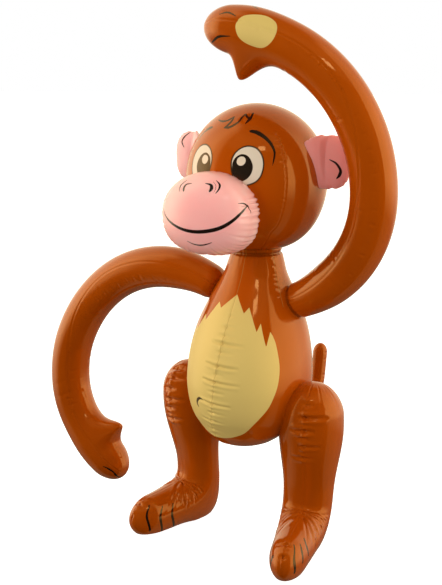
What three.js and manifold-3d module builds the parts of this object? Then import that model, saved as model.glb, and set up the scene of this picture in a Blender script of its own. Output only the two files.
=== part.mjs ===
// A blown-up toy monkey of welded film, standing on its own two feet.
// Millimetres, +Z up. It faces -Y, and its own left side is +X. The body's upright axis is X = Y = 0 and the
// soles lie on Z = 0 while the pieces are made. At the end the whole is moved so that the middle of its
// outline on the floor is the origin.
import * as THREE from "three";
import { mergeVertices } from "three/addons/utils/BufferGeometryUtils.js";
import Module from "manifold-3d";

// Driving sizes. The pose and proportions are those of a toy of DRAWN_HEIGHT, and all of it grows with HEIGHT.
const HEIGHT = 543; // from the soles to the top of the raised hand
const DRAWN_HEIGHT = 543;
const CLEARANCE = 0.3; // left between two chambers that are welded to each other

// Brings a set of lengths from the drawn height to the height of this toy
function sized(lengths) {
  const scale = HEIGHT / DRAWN_HEIGHT;
  const grow = (length) => (Array.isArray(length) ? length.map(grow) : length * scale);
  return Object.fromEntries(Object.entries(lengths).map(([name, length]) => [name, grow(length)]));
}

const BODY = sized({
  x: 2.5, // the body stands a little to its left of the middle of the feet
  bottom: 102, // height of the lowest point of the body
  length: 202, // from there to the weld between body and head
  halfWidth: 64.5, // at the widest row
  frontDepth: 73, // the belly, from the upright axis
  backDepth: 57,
  neckBack: 12, // how far the neck stands behind the axis
  bellySag: 14, // how far the lowest point lies in front of the axis
});
const NECK = BODY.bottom + BODY.length;
const HEAD = sized({ x: 4, y: 8, aboveNeck: 74, halfWidth: 71, depth: 71, halfHeight: 73 });
const HEAD_MIDDLE = NECK + HEAD.aboveNeck;
const MUZZLE = sized({
  x: 0,
  forward: 82, // from the head's middle to its own
  belowMiddle: 27.5,
  halfWidth: 47.5,
  halfHeight: 39,
  front: 34,
  back: 30,
});
const EAR = sized({
  behind: 5,
  aboveMiddle: 17.5,
  reach: 99, // from the head's middle to the rim
  rootReach: 55,
  halfHeight: 26,
  halfThickness: 9,
});
const ARM = sized({
  shoulder: 17.5,
  upper: 22.3,
  middle: 22.3,
  fore: 22.6,
  palm: 24,
  tip: 21,
  capLength: 20,
  tipLength: 28,
});
const THUMB = sized({ fromTip: 47, height: 22.5, widthBefore: 22, widthAfter: 9.5, lean: 3 });
const RAISED_ARM = sized({ x: 34, y: 13, belowNeck: 54.5, arcs: [16, 60, 90, 90, 90, 81] });
const LOWERED_ARM = sized({ x: -36, y: 13, belowNeck: 47.5, arcs: [70, 90, 90, 60, 50, 84] });
const LEG = sized({
  aboveBottom: 76,
  thighWidth: 33,
  thighDepth: 30,
  kneePlace: 52,
  shinWidth: 26.8,
  shinDepth: 21,
  capLength: 31,
});
const LEG_ARCS = sized({ thigh: 45, shin: 58, ankle: 25, bend: 40, foot: 70, shinEnd: 20 });
const FOOT = sized({
  heelHalfWidth: 25,
  toeHalfWidth: 17.5,
  halfHeight: 22.5,
  toeLength: 30,
  heelSwell: 17, // how far the heel stands out behind
  swellBefore: 14,
  swellAfter: 18,
});
const LEFT_LEG = sized({ x: 76.5, y: 0, longer: 4 });
const RIGHT_LEG = sized({ x: 71, y: 6, longer: 0 });
const TAIL = sized({
  radius: 8.2,
  aboveBottom: 18,
  rootDepth: 28, // from the upright axis to its root inside the body
  capLength: 8,
  tipLength: 11,
  arcs: [85, 42, 39],
});
const VALVE = sized({
  aboveBottom: 66,
  flangeRadius: 13,
  flange: 1.4,
  plugRadius: 8,
  plug: 4.5,
  bevel: 1,
  sink: 3, // how deep its root stands in the body
});

// Shapes that stay the same at any size: powers, shares of a length, and angles in degrees
const JAW = 0.75; // under 1, it fills out the head's lower half
const MUZZLE_FULLNESS = 2.4; // over 2, it is fuller than an ellipse
const MUZZLE_JOWL = 2.5;
const EAR_FULLNESS = 2.8;
const THUMB_SHARPNESS = 4;
const HEEL_SHARPNESS = 2;
const THIGH_START = 0.9; // width of the thigh at its top, as a share
const HEEL_SHARE = 0.64; // where the heel is, as a share of the bend of the ankle
const ARM_PLACES = { upper: 0.16, middle: 0.45 }; // shares of the arm's length
const BODY_CLOSING = 2.5; // how fast the body closes at its ends
const RAISED_TURNS = [2, 22.7, 43, 34.6, 36.4, 24];
const LOWERED_TURNS = [-27.4, -36.1, -30.9, -27.6, -32.2, -26];
const LEG_TURNS = [-14, -4, 8, 78, 12];
const TAIL_TURNS = [6, 82, 4];
const RAISED_HEADING = 20.2;
const LOWERED_HEADING = 28.5;
const LEG_HEADING = -80;
const TAIL_HEADING = -8;
const LEAN_FORWARD = 7; // the raised arm's plane leans to the front
const SWEEP_BACK = 2; // the lowered arm's plane turns to the back
const LEFT_SPLAY = 12; // each foot is turned out
const RIGHT_SPLAY = 18;
const LEFT_LEAN = 3; // the left leg leans outwards at its top
const TAIL_TURN_OUT = 5;

// Rows and sides of each faceted skin
const FACETS = {
  body: [26, 28],
  head: [20, 28],
  muzzle: [14, 28],
  ear: [10, 20],
  arm: [40, 16],
  leg: [30, 18],
  tail: [18, 10],
  valve: 24,
};
const CAP_SHARE = 0.16; // share of a limb's rows in each of its round ends
const ARM_CAP_SHARE = 0.12;

const COLOURS = { film: 0xa8480f, muzzle: 0xf0aaa2, ear: 0xd98a80, valve: 0xd9a27c };

const wasm = await Module();
wasm.setup();

const RAD = Math.PI / 180;
const UP = new THREE.Vector3(0, 0, 1);
const mix = (a, b, share) => a + (b - a) * share;
const superellipse = (value, power) => Math.sign(value) * Math.abs(value) ** (2 / power);

// A value read from rows of [place, value] with a smooth run between them
function smooth(rows, place) {
  let row = 0;
  while (row < rows.length - 2 && place > rows[row + 1][0]) row += 1;
  const [a, b] = [rows[row], rows[row + 1]];
  const before = rows[Math.max(row - 1, 0)];
  const after = rows[Math.min(row + 2, rows.length - 1)];
  const width = b[0] - a[0];
  const share = THREE.MathUtils.clamp((place - a[0]) / width, 0, 1);
  const slopeA = row === 0 ? 0 : ((b[1] - before[1]) / (b[0] - before[0])) * width;
  const slopeB = row === rows.length - 2 ? 0 : ((after[1] - a[1]) / (after[0] - a[0])) * width;
  const rise = share * share * (3 - 2 * share);
  const fromA = share * (1 - share) ** 2 * slopeA;
  const fromB = share ** 2 * (share - 1) * slopeB;
  return mix(a[1], b[1], rise) + fromA + fromB;
}

// A line of arcs in one plane. Each arc has a length and a turn in degrees, from `out` towards `up`.
function arcLine({ start, out, up, heading, arcs, turns }) {
  const pieces = [];
  let [x, y, angle, from] = [0, 0, heading * RAD, 0];
  for (const [arc, length] of arcs.entries()) {
    const bend = (turns[arc] * RAD) / length;
    pieces.push({ x, y, angle, from, bend });
    x += (Math.sin(angle + bend * length) - Math.sin(angle)) / bend;
    y -= (Math.cos(angle + bend * length) - Math.cos(angle)) / bend;
    angle += bend * length;
    from += length;
  }
  const at = (place) => {
    const piece = pieces.findLast((p) => p.from <= place) ?? pieces[0];
    const turned = piece.angle + piece.bend * (place - piece.from);
    const px = piece.x + (Math.sin(turned) - Math.sin(piece.angle)) / piece.bend;
    const py = piece.y - (Math.cos(turned) - Math.cos(piece.angle)) / piece.bend;
    const blend = (a, b) => out.clone().multiplyScalar(a).addScaledVector(up, b);
    return {
      point: start.clone().add(blend(px, py)),
      along: blend(Math.cos(turned), Math.sin(turned)),
      side: blend(-Math.sin(turned), Math.cos(turned)),
      across: new THREE.Vector3().crossVectors(out, up),
    };
  };
  return { length: from, at };
}

// A closed skin: `surface(share, turn)` gives a point, and share 0 and 1 are the two poles
function skin([rows, sides], surface) {
  const points = [surface(0, 0)];
  for (let row = 1; row < rows; row += 1) {
    for (let side = 0; side < sides; side += 1) {
      points.push(surface(row / rows, (side / sides) * 2 * Math.PI));
    }
  }
  points.push(surface(1, 0));
  const last = points.length - 1;
  const at = (row, side) => 1 + (row - 1) * sides + (side % sides);
  const faces = [];
  for (let side = 0; side < sides; side += 1) {
    faces.push(0, at(1, side + 1), at(1, side));
    faces.push(last, at(rows - 1, side), at(rows - 1, side + 1));
    for (let row = 1; row < rows - 1; row += 1) {
      faces.push(at(row, side), at(row, side + 1), at(row + 1, side + 1));
      faces.push(at(row, side), at(row + 1, side + 1), at(row + 1, side));
    }
  }
  const geometry = new THREE.BufferGeometry().setFromPoints(points);
  geometry.setIndex(faces);
  return geometry;
}

function toManifold(geometry) {
  return new wasm.Manifold(
    new wasm.Mesh({
      numProp: 3,
      vertProperties: new Float32Array(geometry.attributes.position.array),
      triVerts: new Uint32Array(geometry.index.array),
    }),
  );
}

function fromManifold(solid) {
  const mesh = solid.getMesh();
  const geometry = new THREE.BufferGeometry();
  geometry.setAttribute("position", new THREE.BufferAttribute(new Float32Array(mesh.vertProperties), 3));
  geometry.setIndex([...mesh.triVerts]);
  return geometry;
}

// Only positions, with each corner held once, as a cut needs
function welded(geometry) {
  geometry.deleteAttribute("normal");
  geometry.deleteAttribute("uv");
  return mergeVertices(geometry);
}

// `shape(grow)` makes a piece's closed skin, larger all over by `grow`. It is cut by its neighbours, each
// grown by the clearance.
function cutBy(shape, neighbours) {
  const cutters = neighbours.map((other) => toManifold(other(CLEARANCE)));
  return fromManifold(cutters.reduce((solid, cutter) => solid.subtract(cutter), toManifold(shape(0))));
}

// The body: a pear, rows of [share of its length, share of its half width]
const BODY_ROWS = [
  [0, 0.24],
  [0.034, 0.44],
  [0.083, 0.65],
  [0.137, 0.78],
  [0.19, 0.885],
  [0.26, 0.96],
  [0.36, 1],
  [0.5, 0.965],
  [0.63, 0.87],
  [0.766, 0.69],
  [0.88, 0.51],
  [0.94, 0.45],
  [1, 0.4],
  [1.06, 0.4],
].map(([up, wide]) => [BODY.bottom + up * BODY.length, wide * BODY.halfWidth]);
const BODY_TOP = BODY_ROWS.at(-1)[0]; // the neck runs on into the head until the head cuts it

// The body's half width at a height, and how far its skin stands from its axis in front and behind. It is
// deeper in front for the belly, the more so the wider it is.
function bodySection(z) {
  const wide = smooth(BODY_ROWS, z);
  const plump = Math.min(1, wide / BODY.halfWidth) ** 2;
  const up = THREE.MathUtils.clamp((z - BODY.bottom) / BODY.length, 0, 1);
  return {
    wide,
    front: wide * mix(1, BODY.frontDepth / BODY.halfWidth, plump),
    back: wide * mix(1, BODY.backDepth / BODY.halfWidth, plump),
    y: BODY.neckBack * up ** 1.5 - BODY.bellySag * (1 - Math.min(1, up * BODY_CLOSING)) ** 2,
  };
}

function bodyShape(grow) {
  return skin(FACETS.body, (share, turn) => {
    const z = mix(BODY.bottom - grow, BODY_TOP, (1 - Math.cos(share * Math.PI)) / 2);
    const closing = Math.sqrt(Math.min(1, Math.sin(share * Math.PI) * BODY_CLOSING));
    const section = bodySection(z);
    const depth = Math.cos(turn) > 0 ? section.front : section.back;
    return new THREE.Vector3(
      BODY.x + (section.wide + grow) * closing * Math.sin(turn),
      section.y - (depth + grow) * closing * Math.cos(turn),
      z,
    );
  });
}

function headShape(grow) {
  return skin(FACETS.head, (share, turn) => {
    const polar = share * Math.PI;
    const ring = Math.sin(polar) ** (polar < Math.PI / 2 ? JAW : 1);
    return new THREE.Vector3(
      HEAD.x + (HEAD.halfWidth + grow) * ring * Math.sin(turn),
      HEAD.y - (HEAD.depth + grow) * ring * Math.cos(turn),
      HEAD_MIDDLE - (HEAD.halfHeight + grow) * Math.cos(polar),
    );
  });
}

function muzzleShape() {
  return skin(FACETS.muzzle, (share, turn) => {
    const polar = share * Math.PI;
    const ring = superellipse(Math.sin(polar), MUZZLE_FULLNESS);
    const forward = superellipse(Math.cos(polar), MUZZLE_FULLNESS);
    const depth = forward > 0 ? MUZZLE.front : MUZZLE.back;
    const outline = Math.cos(turn) < 0 ? MUZZLE_JOWL : 2;
    return new THREE.Vector3(
      MUZZLE.x + MUZZLE.halfWidth * ring * superellipse(Math.sin(turn), outline),
      HEAD.y - MUZZLE.forward - depth * forward,
      HEAD_MIDDLE - MUZZLE.belowMiddle + MUZZLE.halfHeight * ring * superellipse(Math.cos(turn), outline),
    );
  });
}

// An ear: a flat pillow that reaches out to the side, its root inside the head until the head cuts it
function earShape(side) {
  const middle = (EAR.reach + EAR.rootReach) / 2;
  const half = (EAR.reach - EAR.rootReach) / 2;
  return () =>
    skin(FACETS.ear, (share, turn) => {
      const ring = Math.sin(share * Math.PI);
      return new THREE.Vector3(
        HEAD.x + side * (middle + half * ring * superellipse(Math.sin(turn), EAR_FULLNESS)),
        HEAD.y + EAR.behind - EAR.halfThickness * Math.cos(share * Math.PI) * side,
        HEAD_MIDDLE + EAR.aboveMiddle + EAR.halfHeight * ring * superellipse(Math.cos(turn), EAR_FULLNESS),
      );
    });
}

// Distance along a chamber of the given length for an even share of its rows, with close rows in its round ends
function rowPlace(share, length, [firstCap, lastCap], capShare) {
  if (share < capShare) return firstCap * (1 - Math.cos((share / capShare) * 90 * RAD));
  if (share > 1 - capShare) return length - lastCap * (1 - Math.cos(((1 - share) / capShare) * 90 * RAD));
  return mix(firstCap, length - lastCap, (share - capShare) / (1 - 2 * capShare));
}

// How far the round ends draw the radius in, from 0 at a pole to 1 beyond the cap
function capFactor(place, length, [firstCap, lastCap]) {
  const first = Math.max(0, 1 - place / firstCap);
  const last = Math.max(0, 1 - (length - place) / lastCap);
  return Math.sqrt(Math.max(0, 1 - first * first)) * Math.sqrt(Math.max(0, 1 - last * last));
}

// A limb: a bent chamber along `line`. `wide` and `deep` are rows of [place, half size] across the line's plane
// and in it. A lobe is a swelling on the inner or outer side of the bend.
function limbShape({ line, wide, deep, facets, caps, capShare = CAP_SHARE, lobe }) {
  return (grow) =>
    skin(facets, (share, turn) => {
      const place = rowPlace(share, line.length, caps, capShare);
      const { point, along, side, across } = line.at(place);
      const closing = capFactor(place, line.length, caps);
      let inPlane = (smooth(deep, place) + grow) * closing * Math.cos(turn);
      if (lobe) {
        const from = place - lobe.place;
        const facing = Math.max(0, lobe.inner * Math.cos(turn)) ** lobe.sharpness;
        const swell = facing * Math.exp(-((from / (from < 0 ? lobe.before : lobe.after)) ** 2));
        inPlane += lobe.inner * lobe.height * swell;
        point.addScaledVector(along, lobe.lean * swell);
      }
      return point
        .addScaledVector(side, inPlane)
        .addScaledVector(across, (smooth(wide, place) + grow) * closing * Math.sin(turn));
    });
}

// An arm ends in a mitten hand, whose thumb is a lobe on the inner side of the bend
function armShape(line, inner) {
  const radii = [
    [0, ARM.shoulder],
    [ARM_PLACES.upper * line.length, ARM.upper],
    [ARM_PLACES.middle * line.length, ARM.middle],
    [line.length - 2 * THUMB.fromTip, ARM.fore],
    [line.length - THUMB.fromTip, ARM.palm],
    [line.length, ARM.tip],
  ];
  return limbShape({
    line,
    wide: radii,
    deep: radii,
    facets: FACETS.arm,
    caps: [ARM.capLength, ARM.tipLength],
    capShare: ARM_CAP_SHARE,
    lobe: {
      place: line.length - THUMB.fromTip,
      height: THUMB.height,
      before: THUMB.widthBefore,
      after: THUMB.widthAfter,
      lean: THUMB.lean,
      inner,
      sharpness: THUMB_SHARPNESS,
    },
  });
}
const raisedLine = arcLine({
  start: new THREE.Vector3(RAISED_ARM.x, RAISED_ARM.y, NECK - RAISED_ARM.belowNeck),
  out: new THREE.Vector3(1, 0, 0),
  up: new THREE.Vector3(0, -Math.sin(LEAN_FORWARD * RAD), Math.cos(LEAN_FORWARD * RAD)),
  heading: RAISED_HEADING,
  arcs: RAISED_ARM.arcs,
  turns: RAISED_TURNS,
});
const loweredLine = arcLine({
  start: new THREE.Vector3(LOWERED_ARM.x, LOWERED_ARM.y, NECK - LOWERED_ARM.belowNeck),
  out: new THREE.Vector3(-Math.cos(SWEEP_BACK * RAD), Math.sin(SWEEP_BACK * RAD), 0),
  up: UP,
  heading: LOWERED_HEADING,
  arcs: LOWERED_ARM.arcs,
  turns: LOWERED_TURNS,
});

// A leg: the rounded thigh beside the body, the shin, and the foot that turns forward onto its flat sole.
// `side` is 1 on the monkey's left.
function legShape(side, { x, y, longer }, splay, lean) {
  const { thigh, shin, ankle, bend, foot, shinEnd } = LEG_ARCS;
  const line = arcLine({
    start: new THREE.Vector3(side * x, y, BODY.bottom + LEG.aboveBottom),
    out: new THREE.Vector3(side * Math.sin(splay * RAD), -Math.cos(splay * RAD), 0),
    up: new THREE.Vector3(side * Math.sin(lean * RAD), 0, Math.cos(lean * RAD)),
    heading: LEG_HEADING,
    arcs: [thigh, shin, ankle, bend, foot + longer],
    turns: LEG_TURNS,
  });
  const bendStart = thigh + shin + ankle;
  const heel = bendStart + HEEL_SHARE * bend;
  return limbShape({
    line,
    wide: [
      [0, THIGH_START * LEG.thighWidth],
      [LEG.kneePlace, LEG.thighWidth],
      [bendStart - shinEnd, LEG.shinWidth],
      [heel, FOOT.heelHalfWidth],
      [line.length, FOOT.toeHalfWidth],
    ],
    deep: [
      [0, LEG.thighDepth],
      [LEG.kneePlace, LEG.thighDepth],
      [bendStart - shinEnd, LEG.shinDepth],
      [heel, FOOT.halfHeight],
      [line.length, FOOT.halfHeight],
    ],
    facets: FACETS.leg,
    caps: [LEG.capLength, FOOT.toeLength],
    lobe: {
      place: heel,
      height: FOOT.heelSwell,
      before: FOOT.swellBefore,
      after: FOOT.swellAfter,
      lean: 0,
      inner: -1,
      sharpness: HEEL_SHARPNESS,
    },
  });
}

// Everything under the floor, which makes the soles flat
function floorShape() {
  const size = 2 * HEIGHT;
  return welded(new THREE.BoxGeometry(size, size, size).translate(0, 0, -size / 2));
}

function tailShape() {
  const line = arcLine({
    start: new THREE.Vector3(BODY.x, TAIL.rootDepth, BODY.bottom + TAIL.aboveBottom),
    out: new THREE.Vector3(Math.sin(TAIL_TURN_OUT * RAD), Math.cos(TAIL_TURN_OUT * RAD), 0),
    up: UP,
    heading: TAIL_HEADING,
    arcs: TAIL.arcs,
    turns: TAIL_TURNS,
  });
  const radii = [
    [0, TAIL.radius],
    [line.length, TAIL.radius],
  ];
  return limbShape({
    line,
    wide: radii,
    deep: radii,
    facets: FACETS.tail,
    caps: [TAIL.capLength, TAIL.tipLength],
  });
}

// The mouth valve on the back: a flange welded to the film, with its plug pressed in
function valveShape(grow) {
  const { flangeRadius, flange, plugRadius, plug, sink, bevel } = VALVE;
  const outline = [
    [0, -grow],
    [flangeRadius + grow, -grow],
    [flangeRadius + grow, sink + flange],
    [plugRadius + grow, sink + flange],
    [plugRadius + grow, sink + flange + plug - bevel],
    [plugRadius - bevel + grow, sink + flange + plug + grow],
    [0, sink + flange + plug + grow],
  ].map(([x, y]) => new THREE.Vector2(x, y));
  const height = BODY.bottom + VALVE.aboveBottom;
  const section = bodySection(height);
  const lathe = new THREE.LatheGeometry(outline, FACETS.valve);
  return welded(lathe.translate(BODY.x, section.y + section.back - sink, height));
}

const monkey = new THREE.Group();

function add(name, geometry, colour) {
  const finish = new THREE.MeshStandardMaterial({ color: colour, roughness: 0.22, metalness: 0 });
  const mesh = new THREE.Mesh(geometry, finish);
  mesh.name = name;
  monkey.add(mesh);
}

const leftLeg = legShape(1, LEFT_LEG, LEFT_SPLAY, LEFT_LEAN);
const rightLeg = legShape(-1, RIGHT_LEG, RIGHT_SPLAY, 0);
add("torso", cutBy(bodyShape, [headShape, valveShape]), COLOURS.film);
add("head", headShape(0), COLOURS.film);
add("muzzle", cutBy(muzzleShape, [headShape]), COLOURS.muzzle);
add("ear_left", cutBy(earShape(1), [headShape]), COLOURS.ear);
add("ear_right", cutBy(earShape(-1), [headShape]), COLOURS.ear);
add("arm_left", cutBy(armShape(raisedLine, 1), [bodyShape]), COLOURS.film);
add("arm_right", cutBy(armShape(loweredLine, -1), [bodyShape]), COLOURS.film);
add("leg_left", cutBy(leftLeg, [bodyShape, floorShape]), COLOURS.film);
add("leg_right", cutBy(rightLeg, [bodyShape, floorShape]), COLOURS.film);
add("tail", cutBy(tailShape(), [bodyShape]), COLOURS.film);
add("valve", valveShape(0), COLOURS.valve);

// The middle of the outline on the floor becomes the origin
const outline = new THREE.Box3().setFromObject(monkey);
const middle = outline.getCenter(new THREE.Vector3());
monkey.position.set(-middle.x, -middle.y, -outline.min.z);

export default monkey;
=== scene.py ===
"""Looks of a blown-up toy monkey: welded, printed, glossy film around its packed solids."""
import math
from types import SimpleNamespace as Sizes

import bpy
import numpy as np
from mathutils import Matrix, Vector


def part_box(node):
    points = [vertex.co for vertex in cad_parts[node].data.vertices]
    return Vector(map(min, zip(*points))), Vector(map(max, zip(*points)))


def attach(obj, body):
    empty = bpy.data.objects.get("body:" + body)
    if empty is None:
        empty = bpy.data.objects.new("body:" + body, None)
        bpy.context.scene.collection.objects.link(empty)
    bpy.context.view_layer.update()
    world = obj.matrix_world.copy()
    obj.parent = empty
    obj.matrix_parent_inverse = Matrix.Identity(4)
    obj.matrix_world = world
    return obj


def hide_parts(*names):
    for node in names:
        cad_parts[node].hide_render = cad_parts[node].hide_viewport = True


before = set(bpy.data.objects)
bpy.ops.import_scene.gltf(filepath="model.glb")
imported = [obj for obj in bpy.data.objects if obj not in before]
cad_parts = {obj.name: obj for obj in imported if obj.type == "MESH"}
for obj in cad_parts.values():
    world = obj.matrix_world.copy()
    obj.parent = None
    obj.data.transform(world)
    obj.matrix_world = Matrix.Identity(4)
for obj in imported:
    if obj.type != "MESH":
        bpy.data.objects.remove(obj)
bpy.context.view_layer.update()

# Lengths are millimetres in the frame in which the solids were drawn: soles on z = 0, facing -y
MM = 0.001
RAD = math.pi / 180
BODY = Sizes(
    x=2.5, bottom=102, length=202, half_width=64.5, front=73, back=57, neck_back=12, sag=14, closing=2.5
)
NECK = BODY.bottom + BODY.length
HEAD = Sizes(x=4, y=8, z=NECK + 74, half_width=71, depth=71, half_height=73, jaw=0.75)
MUZZLE = Sizes(
    x=0, y=HEAD.y - 82, z=HEAD.z - 27.5, half_width=47.5, half_height=39, front=34, back=30,
    fullness=2.4, jowl=2.5,
)
EAR = Sizes(
    y=HEAD.y + 5, z=HEAD.z + 17.5, reach=99, root=55, half_height=26, half_thickness=9, fullness=2.8
)
ARM = Sizes(
    shoulder=17.5, upper=22.3, middle=22.3, fore=22.6, palm=24, tip=21, cap=20, tip_cap=28,
    upper_share=0.16, middle_share=0.45,
)
THUMB = Sizes(from_tip=47, height=22.5, before=22, after=9.5, lean=3, sharpness=4)
LEG = Sizes(
    top=BODY.bottom + 76, hip=0.9, thigh_width=33, thigh_depth=30, knee=52, shin_width=26.8, shin_depth=21,
    cap=31, heel=0.64,
)
FOOT = Sizes(heel_width=25, toe_width=17.5, half_height=22.5, toe_cap=30, swell=17, before=14, after=18)
TAIL = Sizes(radius=8.2, cap=8, tip_cap=11)
VALVE = Sizes(z=BODY.bottom + 66, flange_radius=13, flange=1.4, plug_radius=8, plug=4.5, bevel=1, sink=3)

# The body's outline: share of its length from the bottom, and share of its greatest half width
BODY_ROWS = [
    (0, 0.24), (0.034, 0.44), (0.083, 0.65), (0.137, 0.78), (0.19, 0.885), (0.26, 0.96), (0.36, 1),
    (0.5, 0.965), (0.63, 0.87), (0.766, 0.69), (0.88, 0.51), (0.94, 0.45), (1, 0.4), (1.06, 0.4),
]
BODY_TOP = BODY_ROWS[-1][0]


def mix(a, b, share):
    return a + (b - a) * share


def smooth(rows, place):
    """The values at some places, read from rows of (place, value) with a smooth run between them"""
    at, value = np.array(rows, float).T
    place = np.clip(place, at[0], at[-1])
    i = np.clip(np.searchsorted(at, place, side="right") - 1, 0, len(at) - 2)
    slope = np.zeros(len(at))
    slope[1:-1] = (value[2:] - value[:-2]) / (at[2:] - at[:-2])
    width = at[i + 1] - at[i]
    share = (place - at[i]) / width
    rise = share * share * (3 - 2 * share)
    ends = share * (1 - share) ** 2 * slope[i] * width + share**2 * (share - 1) * slope[i + 1] * width
    return mix(value[i], value[i + 1], rise) + ends


def superellipse(value, power):
    return np.sign(value) * np.abs(value) ** (2 / power)


def body_section(z):
    """The body's half width, its front and back depth from its axis, and the axis's place, at heights z"""
    up = (z - BODY.bottom) / BODY.length
    wide = smooth(BODY_ROWS, up) * BODY.half_width
    plump = np.minimum(1, wide / BODY.half_width) ** 2
    up = np.clip(up, 0, 1)
    front = wide * mix(1, BODY.front / BODY.half_width, plump)
    back = wide * mix(1, BODY.back / BODY.half_width, plump)
    axis = BODY.neck_back * up**1.5 - BODY.sag * (1 - np.minimum(1, up * BODY.closing)) ** 2
    return wide, front, back, axis


def in_body(points, margin):
    """True for the points that lie deeper than margin inside the body"""
    x, y, z = points[..., 0], points[..., 1], points[..., 2]
    wide, front, back, axis = body_section(z)
    depth = np.where(y < axis, front, back)
    across = (x - BODY.x) / (wide - margin)
    through = (y - axis) / (depth - margin)
    return (across**2 + through**2 < 1) & (z > BODY.bottom + margin) & (z < NECK + 20)


def body_point(share, turn):
    z = mix(BODY.bottom, BODY.bottom + BODY_TOP * BODY.length, (1 - np.cos(share * np.pi)) / 2)
    closing = np.sqrt(np.minimum(1, np.sin(share * np.pi) * BODY.closing))
    wide, front, back, axis = body_section(z)
    depth = np.where(np.cos(turn) > 0, front, back)
    return np.stack([BODY.x + wide * closing * np.sin(turn), axis - depth * closing * np.cos(turn), z], -1)


def head_point(share, turn):
    polar = share * np.pi
    ring = np.maximum(np.sin(polar), 0) ** np.where(polar < np.pi / 2, HEAD.jaw, 1)
    x = HEAD.x + HEAD.half_width * ring * np.sin(turn)
    y = HEAD.y - HEAD.depth * ring * np.cos(turn)
    return np.stack([x, y, HEAD.z - HEAD.half_height * np.cos(polar)], -1)


def muzzle_point(share, turn):
    polar = share * np.pi
    ring = superellipse(np.sin(polar), MUZZLE.fullness)
    forward = superellipse(np.cos(polar), MUZZLE.fullness)
    depth = np.where(forward > 0, MUZZLE.front, MUZZLE.back)
    power = np.where(np.cos(turn) < 0, MUZZLE.jowl, 2)
    x = MUZZLE.x + MUZZLE.half_width * ring * superellipse(np.sin(turn), power)
    z = MUZZLE.z + MUZZLE.half_height * ring * superellipse(np.cos(turn), power)
    return np.stack([x, MUZZLE.y - depth * forward, z], -1)


def ear_point(side, share, turn):
    middle, half = (EAR.reach + EAR.root) / 2, (EAR.reach - EAR.root) / 2
    ring = np.sin(share * np.pi)
    x = HEAD.x + side * (middle + half * ring * superellipse(np.sin(turn), EAR.fullness))
    y = EAR.y - EAR.half_thickness * np.cos(share * np.pi) * side
    z = EAR.z + EAR.half_height * ring * superellipse(np.cos(turn), EAR.fullness)
    return np.stack([x, y, z], -1)


class ArcLine:
    """A line of arcs in one plane: lengths, and turns in degrees from out towards up"""

    def __init__(self, start, out, up, heading, arcs, turns):
        self.start, self.out, self.up = (np.array(v, float) for v in (start, out, up))
        self.pieces = []
        x, y, angle, place = 0, 0, heading * RAD, 0
        for length, turn in zip(arcs, turns):
            bend = turn * RAD / length
            self.pieces.append((x, y, angle, place, bend))
            x += (math.sin(angle + bend * length) - math.sin(angle)) / bend
            y -= (math.cos(angle + bend * length) - math.cos(angle)) / bend
            angle += bend * length
            place += length
        self.length = place

    def vector(self, outwards, upwards):
        return outwards[..., None] * self.out + upwards[..., None] * self.up

    def at(self, place):
        """Points, and the directions along the line, to its side in its plane, and across the plane"""
        x, y, angle, begin, bend = np.array(self.pieces).T
        i = np.clip(np.searchsorted(begin, place, side="right") - 1, 0, len(begin) - 1)
        turned = angle[i] + bend[i] * (place - begin[i])
        x_at = x[i] + (np.sin(turned) - np.sin(angle[i])) / bend[i]
        y_at = y[i] - (np.cos(turned) - np.cos(angle[i])) / bend[i]
        along = self.vector(np.cos(turned), np.sin(turned))
        side = self.vector(-np.sin(turned), np.cos(turned))
        return self.start + self.vector(x_at, y_at), along, side, np.cross(self.out, self.up)


def limb_point(line, wide, deep, caps, lobe, place, turn):
    """Skin of a bent chamber at a place along its line and a turn round it"""
    point, along, side, across = line.at(place)
    first = np.maximum(0, 1 - place / caps[0])
    last = np.maximum(0, 1 - (line.length - place) / caps[1])
    closing = np.sqrt(np.maximum(0, 1 - first**2)) * np.sqrt(np.maximum(0, 1 - last**2))
    in_plane = smooth(deep, place) * closing * np.cos(turn)
    if lobe:
        away = place - lobe["place"]
        facing = np.maximum(0, lobe["inner"] * np.cos(turn)) ** lobe["sharpness"]
        swell = facing * np.exp(-((away / np.where(away < 0, lobe["before"], lobe["after"])) ** 2))
        in_plane = in_plane + lobe["inner"] * lobe["height"] * swell
        point = point + along * (lobe["lean"] * swell)[..., None]
    around = (smooth(wide, place) * closing * np.sin(turn))[..., None]
    return point + side * in_plane[..., None] + across * around


def arm(line, inner):
    """An arm round a line, with its thumb on the line's side if inner is 1 and on the other if it is -1"""
    length = line.length
    thumb_place = length - THUMB.from_tip
    radii = [
        (0, ARM.shoulder), (ARM.upper_share * length, ARM.upper),
        (ARM.middle_share * length, ARM.middle), (length - 2 * THUMB.from_tip, ARM.fore),
        (thumb_place, ARM.palm), (length, ARM.tip),
    ]
    lobe = {**vars(THUMB), "place": thumb_place, "inner": inner}
    return dict(line=line, wide=radii, deep=radii, caps=(ARM.cap, ARM.tip_cap), lobe=lobe)


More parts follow.
